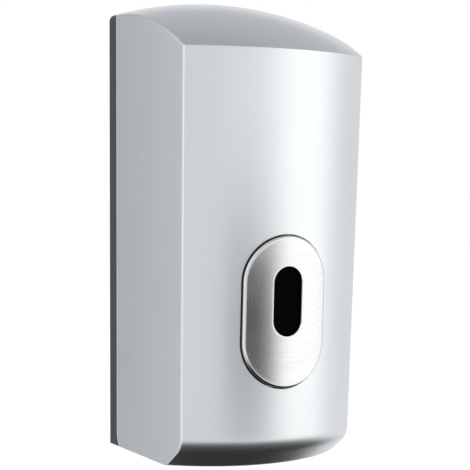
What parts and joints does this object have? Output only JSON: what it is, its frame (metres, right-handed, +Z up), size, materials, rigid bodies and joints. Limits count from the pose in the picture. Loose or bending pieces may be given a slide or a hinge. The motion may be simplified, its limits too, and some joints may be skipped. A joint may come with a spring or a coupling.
{
  "type": "soap dispenser",
  "caption": "Wall mounted liquid soap dispenser with a hinged domed cover, an oval push plate with a sight slot, a refillable tank and a piston pump.",
  "frame": {"origin": "middle of the four wall screw holes, on the wall plane behind the back plate", "axes": "+X across the body to the right seen from the front, +Y into the wall, +Z up; the push plate faces -Y"},
  "size_m": [0.1196, 0.1182, 0.277],
  "materials": {
    "cover_silver": "smooth silver lacquer over a moulded cover",
    "plate_silver": "fine satin silver",
    "base_grey": "fine matt moulded grain, dark grey",
    "dark_plastic": "satin moulded plastic, near black",
    "white_plastic": "smooth moulded plastic, white",
    "tank_plastic": "milky blow moulded plastic",
    "smoked_window": "smoked clear plastic, polished",
    "silicone": "soft translucent silicone",
    "red_silicone": "red silicone gasket",
    "black_rubber": "black nitrile rubber",
    "steel": "bright stainless wire and screws"
  },
  "bodies": {
    "root": {"back_plate": "base_grey", "hinge_pins": "steel", "latch_tongue": "white_plastic", "latch_screws": "steel", "tank": "tank_plastic", "tank_deck": "white_plastic", "flap_pin": "steel", "union_nut": "dark_plastic", "neck_gasket": "red_silicone", "valve_seat": "white_plastic", "inlet_valve": "silicone", "pump_body": "white_plastic", "pump_end_cap": "dark_plastic", "return_spring": "steel", "outlet_valve": "silicone", "nozzle": "base_grey", "nozzle_nut": "dark_plastic"},
    "cover": {"front_cover": "cover_silver", "guide_frame": "base_grey", "guide_screws": "steel", "plate_springs": "steel"},
    "push_button": {"push_plate": "plate_silver", "sight_window": "smoked_window", "window_retainer": "base_grey"},
    "pump_plunger": {"plunger": "white_plastic", "piston_seals": "black_rubber"},
    "flap": {"filler_flap": "white_plastic", "flap_seal": "silicone"}
  },
  "joints": [
    {"name": "cover_hinge", "type": "hinge", "parent": "root", "child": "cover", "pos_m": [0, -0.0245, -0.121], "axis": [1, 0, 0], "range_deg": [0, 88], "deforming": ["latch_tongue"]},
    {"name": "plate_slide", "type": "slide", "parent": "cover", "child": "push_button", "axis": [0, 1, 0], "range_m": [0, 0.01], "stiffness_N_per_m": 300, "deforming": ["plate_springs"]},
    {"name": "plunger_slide", "type": "slide", "parent": "root", "child": "pump_plunger", "axis": [0, 1, 0], "range_m": [0, 0.01], "stiffness_N_per_m": 400, "deforming": ["return_spring"]},
    {"name": "flap_hinge", "type": "hinge", "parent": "root", "child": "flap", "pos_m": [0, -0.03899, 0.08475], "axis": [-1, 0, 0], "range_deg": [0, 75]}
  ],
  "couplings": [
    {"joint": "plunger_slide", "follows": "plate_slide", "ratio": 1}
  ]
}
